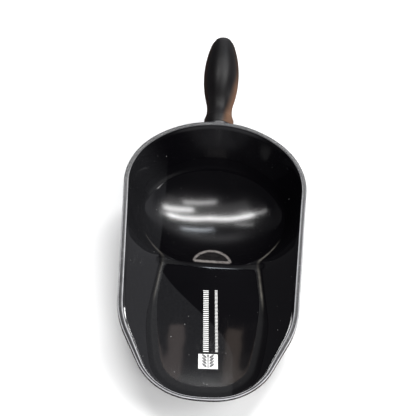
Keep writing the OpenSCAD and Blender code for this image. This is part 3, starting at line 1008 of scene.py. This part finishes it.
def world():
    """Soft surroundings. Behind the scoop they are pale up to a height, greyer on the right, and
    dark above and on the left. In front they are dim, with a pale glow straight ahead. Under the
    horizon, which only mirror reflections see, they are dark and warm."""
    sky = bpy.data.worlds.new("surroundings")
    bpy.context.scene.world = sky
    sky.use_nodes = True
    tree = sky.node_tree
    tree.nodes.clear()
    out = tree.nodes.new("ShaderNodeOutputWorld")
    back = tree.nodes.new("ShaderNodeBackground")
    place = tree.nodes.new("ShaderNodeTexCoord")
    part = tree.nodes.new("ShaderNodeSeparateXYZ")
    tree.links.new(place.outputs["Generated"], part.inputs[0])

    def fade(axis, low, high):
        """From 0 to 1 as the direction's x, y or z goes from low to high."""
        made = tree.nodes.new("ShaderNodeMapRange")
        made.interpolation_type = "SMOOTHSTEP"
        made.inputs["From Min"].default_value = low
        made.inputs["From Max"].default_value = high
        tree.links.new(part.outputs[axis], made.inputs["Value"])
        return made.outputs[0]

    def blend(share, a, b):
        made = tree.nodes.new("ShaderNodeMix")
        made.data_type = "RGBA"
        tree.links.new(share, made.inputs[0])
        for i, tone in ((6, a), (7, b)):
            if isinstance(tone, tuple):
                made.inputs[i].default_value = tone
            else:
                tree.links.new(tone, made.inputs[i])
        return made.outputs[2]

    wall = blend(fade(0, -0.35, -0.10), (0.09, 0.09, 0.095, 1), (0.85, 0.85, 0.88, 1))
    wall = blend(fade(0, 0.15, 0.45), wall, (0.32, 0.32, 0.34, 1))
    low, high = (math.sin(math.radians(a)) for a in (34, 43))
    behind = blend(fade(2, low, high), wall, (0.05, 0.05, 0.055, 1))
    room = blend(fade(1, 0.1, -0.1), behind, (0.06, 0.06, 0.065, 1))
    room = blend(fade(1, -0.60, -0.92), room, (0.62, 0.62, 0.65, 1))
    ground = blend(fade(0, 0.25, 0.60), (0.09, 0.055, 0.045, 1), (0.45, 0.25, 0.17, 1))
    around = blend(fade(2, -0.26, -0.04), ground, room)
    tree.links.new(around, back.inputs[0])
    tree.links.new(back.outputs[0], out.inputs[0])


CEILING = 6.0  # height of the strip lights, in metres
LOOK_AT = Vector((0.0, -0.02, 0.02))  # the middle of the bowl, which every light faces


def strip_light(name, start, end, width, radiance, colour=(1, 1, 1)):
    """A long soft light on the ceiling. Its ends are slopes, across and back for each metre up."""
    a, b = (Vector((x * CEILING, y * CEILING, CEILING)) for x, y in (start, end))
    card_light(name, (a + b) / 2, b - a, width, radiance, colour)


def card_light(name, centre, span, width, radiance, colour=(1, 1, 1), mirrored=True):
    """A rectangular light, long along span, facing the scoop. It can be kept out of reflections."""
    centre, span = Vector(centre), Vector(span)
    facing = (centre - LOOK_AT).normalized()
    along = (span - facing * span.dot(facing)).normalized()
    other = facing.cross(along)
    light = bpy.data.lights.new(name, "AREA")
    light.shape = "RECTANGLE"
    light.size = span.length
    light.size_y = width
    light.energy = math.pi * span.length * width * radiance  # watts
    light.color = colour
    lamp = bpy.data.objects.new(name, light)
    turned = Matrix((along, other, facing)).transposed().to_4x4()
    lamp.matrix_world = Matrix.Translation(centre) @ turned
    lamp.visible_camera = False
    lamp.visible_glossy = mirrored
    bpy.context.scene.collection.objects.link(lamp)


def lights():
    strip_light("strip_main_left", (-0.49, 0.69), (0.06, 0.663), 0.40, 34)
    strip_light("strip_main_right", (0.05, 0.663), (0.56, 0.895), 0.40, 34)
    strip_light("strip_main_end", (0.56, 0.895), (0.74, 0.98), 0.36, 9)
    strip_light("strip_main_start", (-0.70, 0.72), (-0.49, 0.69), 0.36, 9)
    strip_light("strip_high", (-0.02, 0.315), (0.37, 0.435), 0.26, 16)
    strip_light("strip_right", (0.265, 0.545), (0.64, 0.75), 0.42, 28)
    strip_light("strip_far", (0.02, 1.005), (0.40, 1.20), 0.24, 18, (0.86, 0.93, 1.0))
    strip_light("strip_left", (-0.30, 0.56), (-0.455, 0.62), 0.20, 8)
    strip_light("strip_left_far", (-0.29, 0.85), (-0.50, 0.98), 0.20, 9)
    strip_light("glow_high", (-0.45, 0.44), (0.62, 0.56), 1.4, 0.8)
    card_light("post_left", (-0.13, 4.9, 6.75), (0, 0, 0.8), 0.12, 0.9, (1.0, 0.82, 0.76))
    card_light("post_right", (0.34, 4.9, 6.75), (0, 0, 0.8), 0.13, 0.8, (1.0, 0.80, 0.68))
    card_light("side_right", (2.4, -0.1, 1.5), (0, 2.0, 0), 1.6, 5.0)
    card_light("fill_front", (0.0, -3.0, 2.2), (4.0, 0, 0), 2.5, 4.2, mirrored=False)


# the camera fitted to the photo: it aims at a place on the rim's plane, AIM_U up from the lip
CAMERA_LENS = 90.35
CAMERA_DISTANCE = 0.838
CAMERA_SIDE, CAMERA_HEIGHT, CAMERA_ROLL = (math.radians(a) for a in (-0.59, 44.09, 4.31))
AIM_U = 170.1
CAMERA_AIM = Vector((-0.00485, (LIP_Y + AIM_U * COS) * MM, (LIP_Z + AIM_U * SIN) * MM))


def camera():
    level, rise = math.cos(CAMERA_HEIGHT), math.sin(CAMERA_HEIGHT)
    back = Vector((math.sin(CAMERA_SIDE) * level, -math.cos(CAMERA_SIDE) * level, rise))
    right = (-back).cross(Vector((0, 0, 1))).normalized()
    up = right.cross(-back)
    c, s = math.cos(CAMERA_ROLL), math.sin(CAMERA_ROLL)
    x, y = c * right + s * up, -s * right + c * up
    data = bpy.data.cameras.new("camera")
    data.lens = CAMERA_LENS
    data.sensor_width = 36.0
    data.clip_start = 0.01
    made = bpy.data.objects.new("camera", data)
    turned = Matrix((x, y, back)).transposed().to_4x4()
    made.matrix_world = Matrix.Translation(CAMERA_AIM + back * CAMERA_DISTANCE) @ turned
    bpy.context.scene.collection.objects.link(made)
    bpy.context.scene.camera = made


# ---------------------------------------------------------------- putting it together
# rows of the rim band's section painted pale, a painted highlight that also stands for wear, and
# how much: its inner and its outer corner.
# The pale paint is full ahead of the first value below, fades over the second (metres) and keeps
# the third share at the back.
PALE_ROWS = ((1, 0.5), (2, 1.0), (3, 0.5), (6, 0.5), (7, 1.0), (8, 0.6))
PALE_FROM, PALE_FADE, PALE_LEAST = -0.03, 0.06, 0.15


def paint_rim(shell, body, rim_finish):
    """The rim band takes the rim finish, and the shell stores where its corners are painted pale, a
    painted highlight that also stands for rubbing.
    """
    shell.data.materials.append(body)
    shell.data.materials.append(rim_finish)
    around = 2 * (len(OUTLINE) - 1)
    first = FLOOR_ROWS + WALL_ROWS
    band = len(band_section(OUTLINE[:1, 1]))
    for polygon in shell.data.polygons:
        rows = [i // around for i in polygon.vertices]
        if min(rows) >= first and max(rows) < first + band:
            polygon.material_index = 1
    edge = np.zeros(len(shell.data.vertices), np.float32)
    ahead = np.array([v.co.y for v in shell.data.vertices])
    for row, share in PALE_ROWS:
        span = slice((first + row) * around, (first + row + 1) * around)
        # painted highlight, also wear: the pale share is full at the front and fades toward the
        # back
        wear = ease((PALE_FROM + PALE_FADE - ahead[span]) / PALE_FADE)
        edge[span] = share * (PALE_LEAST + (1 - PALE_LEAST) * wear)
    shell.data.attributes.new("edge", "FLOAT", "POINT").data.foreach_set("value", edge)


def build():
    plastic, rim_finish, grip = bowl_plastic(), rim_plastic(), handle_plastic()
    shell = bowl_shell()
    paint_rim(shell, plastic, rim_finish)
    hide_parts("bowl")
    ring, root = foot_ring(), bowl_root()
    ring.data.materials.append(plastic)
    root.data.materials.append(rim_finish)
    for piece in (shell, ring, root):
        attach(piece, "root")
    upper, lower = half_shell("handle_shell_upper", True), lower_shell()
    for piece, node in ((upper, "handle_upper"), (lower, "handle_lower")):
        piece.data.materials.append(grip)
        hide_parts(node)
        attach(piece, "root")
    screws = frame["nodes"]["handle_screws"]
    screws.data.materials.clear()
    screws.data.materials.append(screw_steel())
    white, dark = printed_mark()
    white.data.materials.append(print_ink())
    dark.data.materials.append(print_dark())
    for piece in (white, dark):
        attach(piece, "root")


build()
floor()
world()
lights()
camera()
bpy.context.scene.view_settings.view_transform = "Standard"
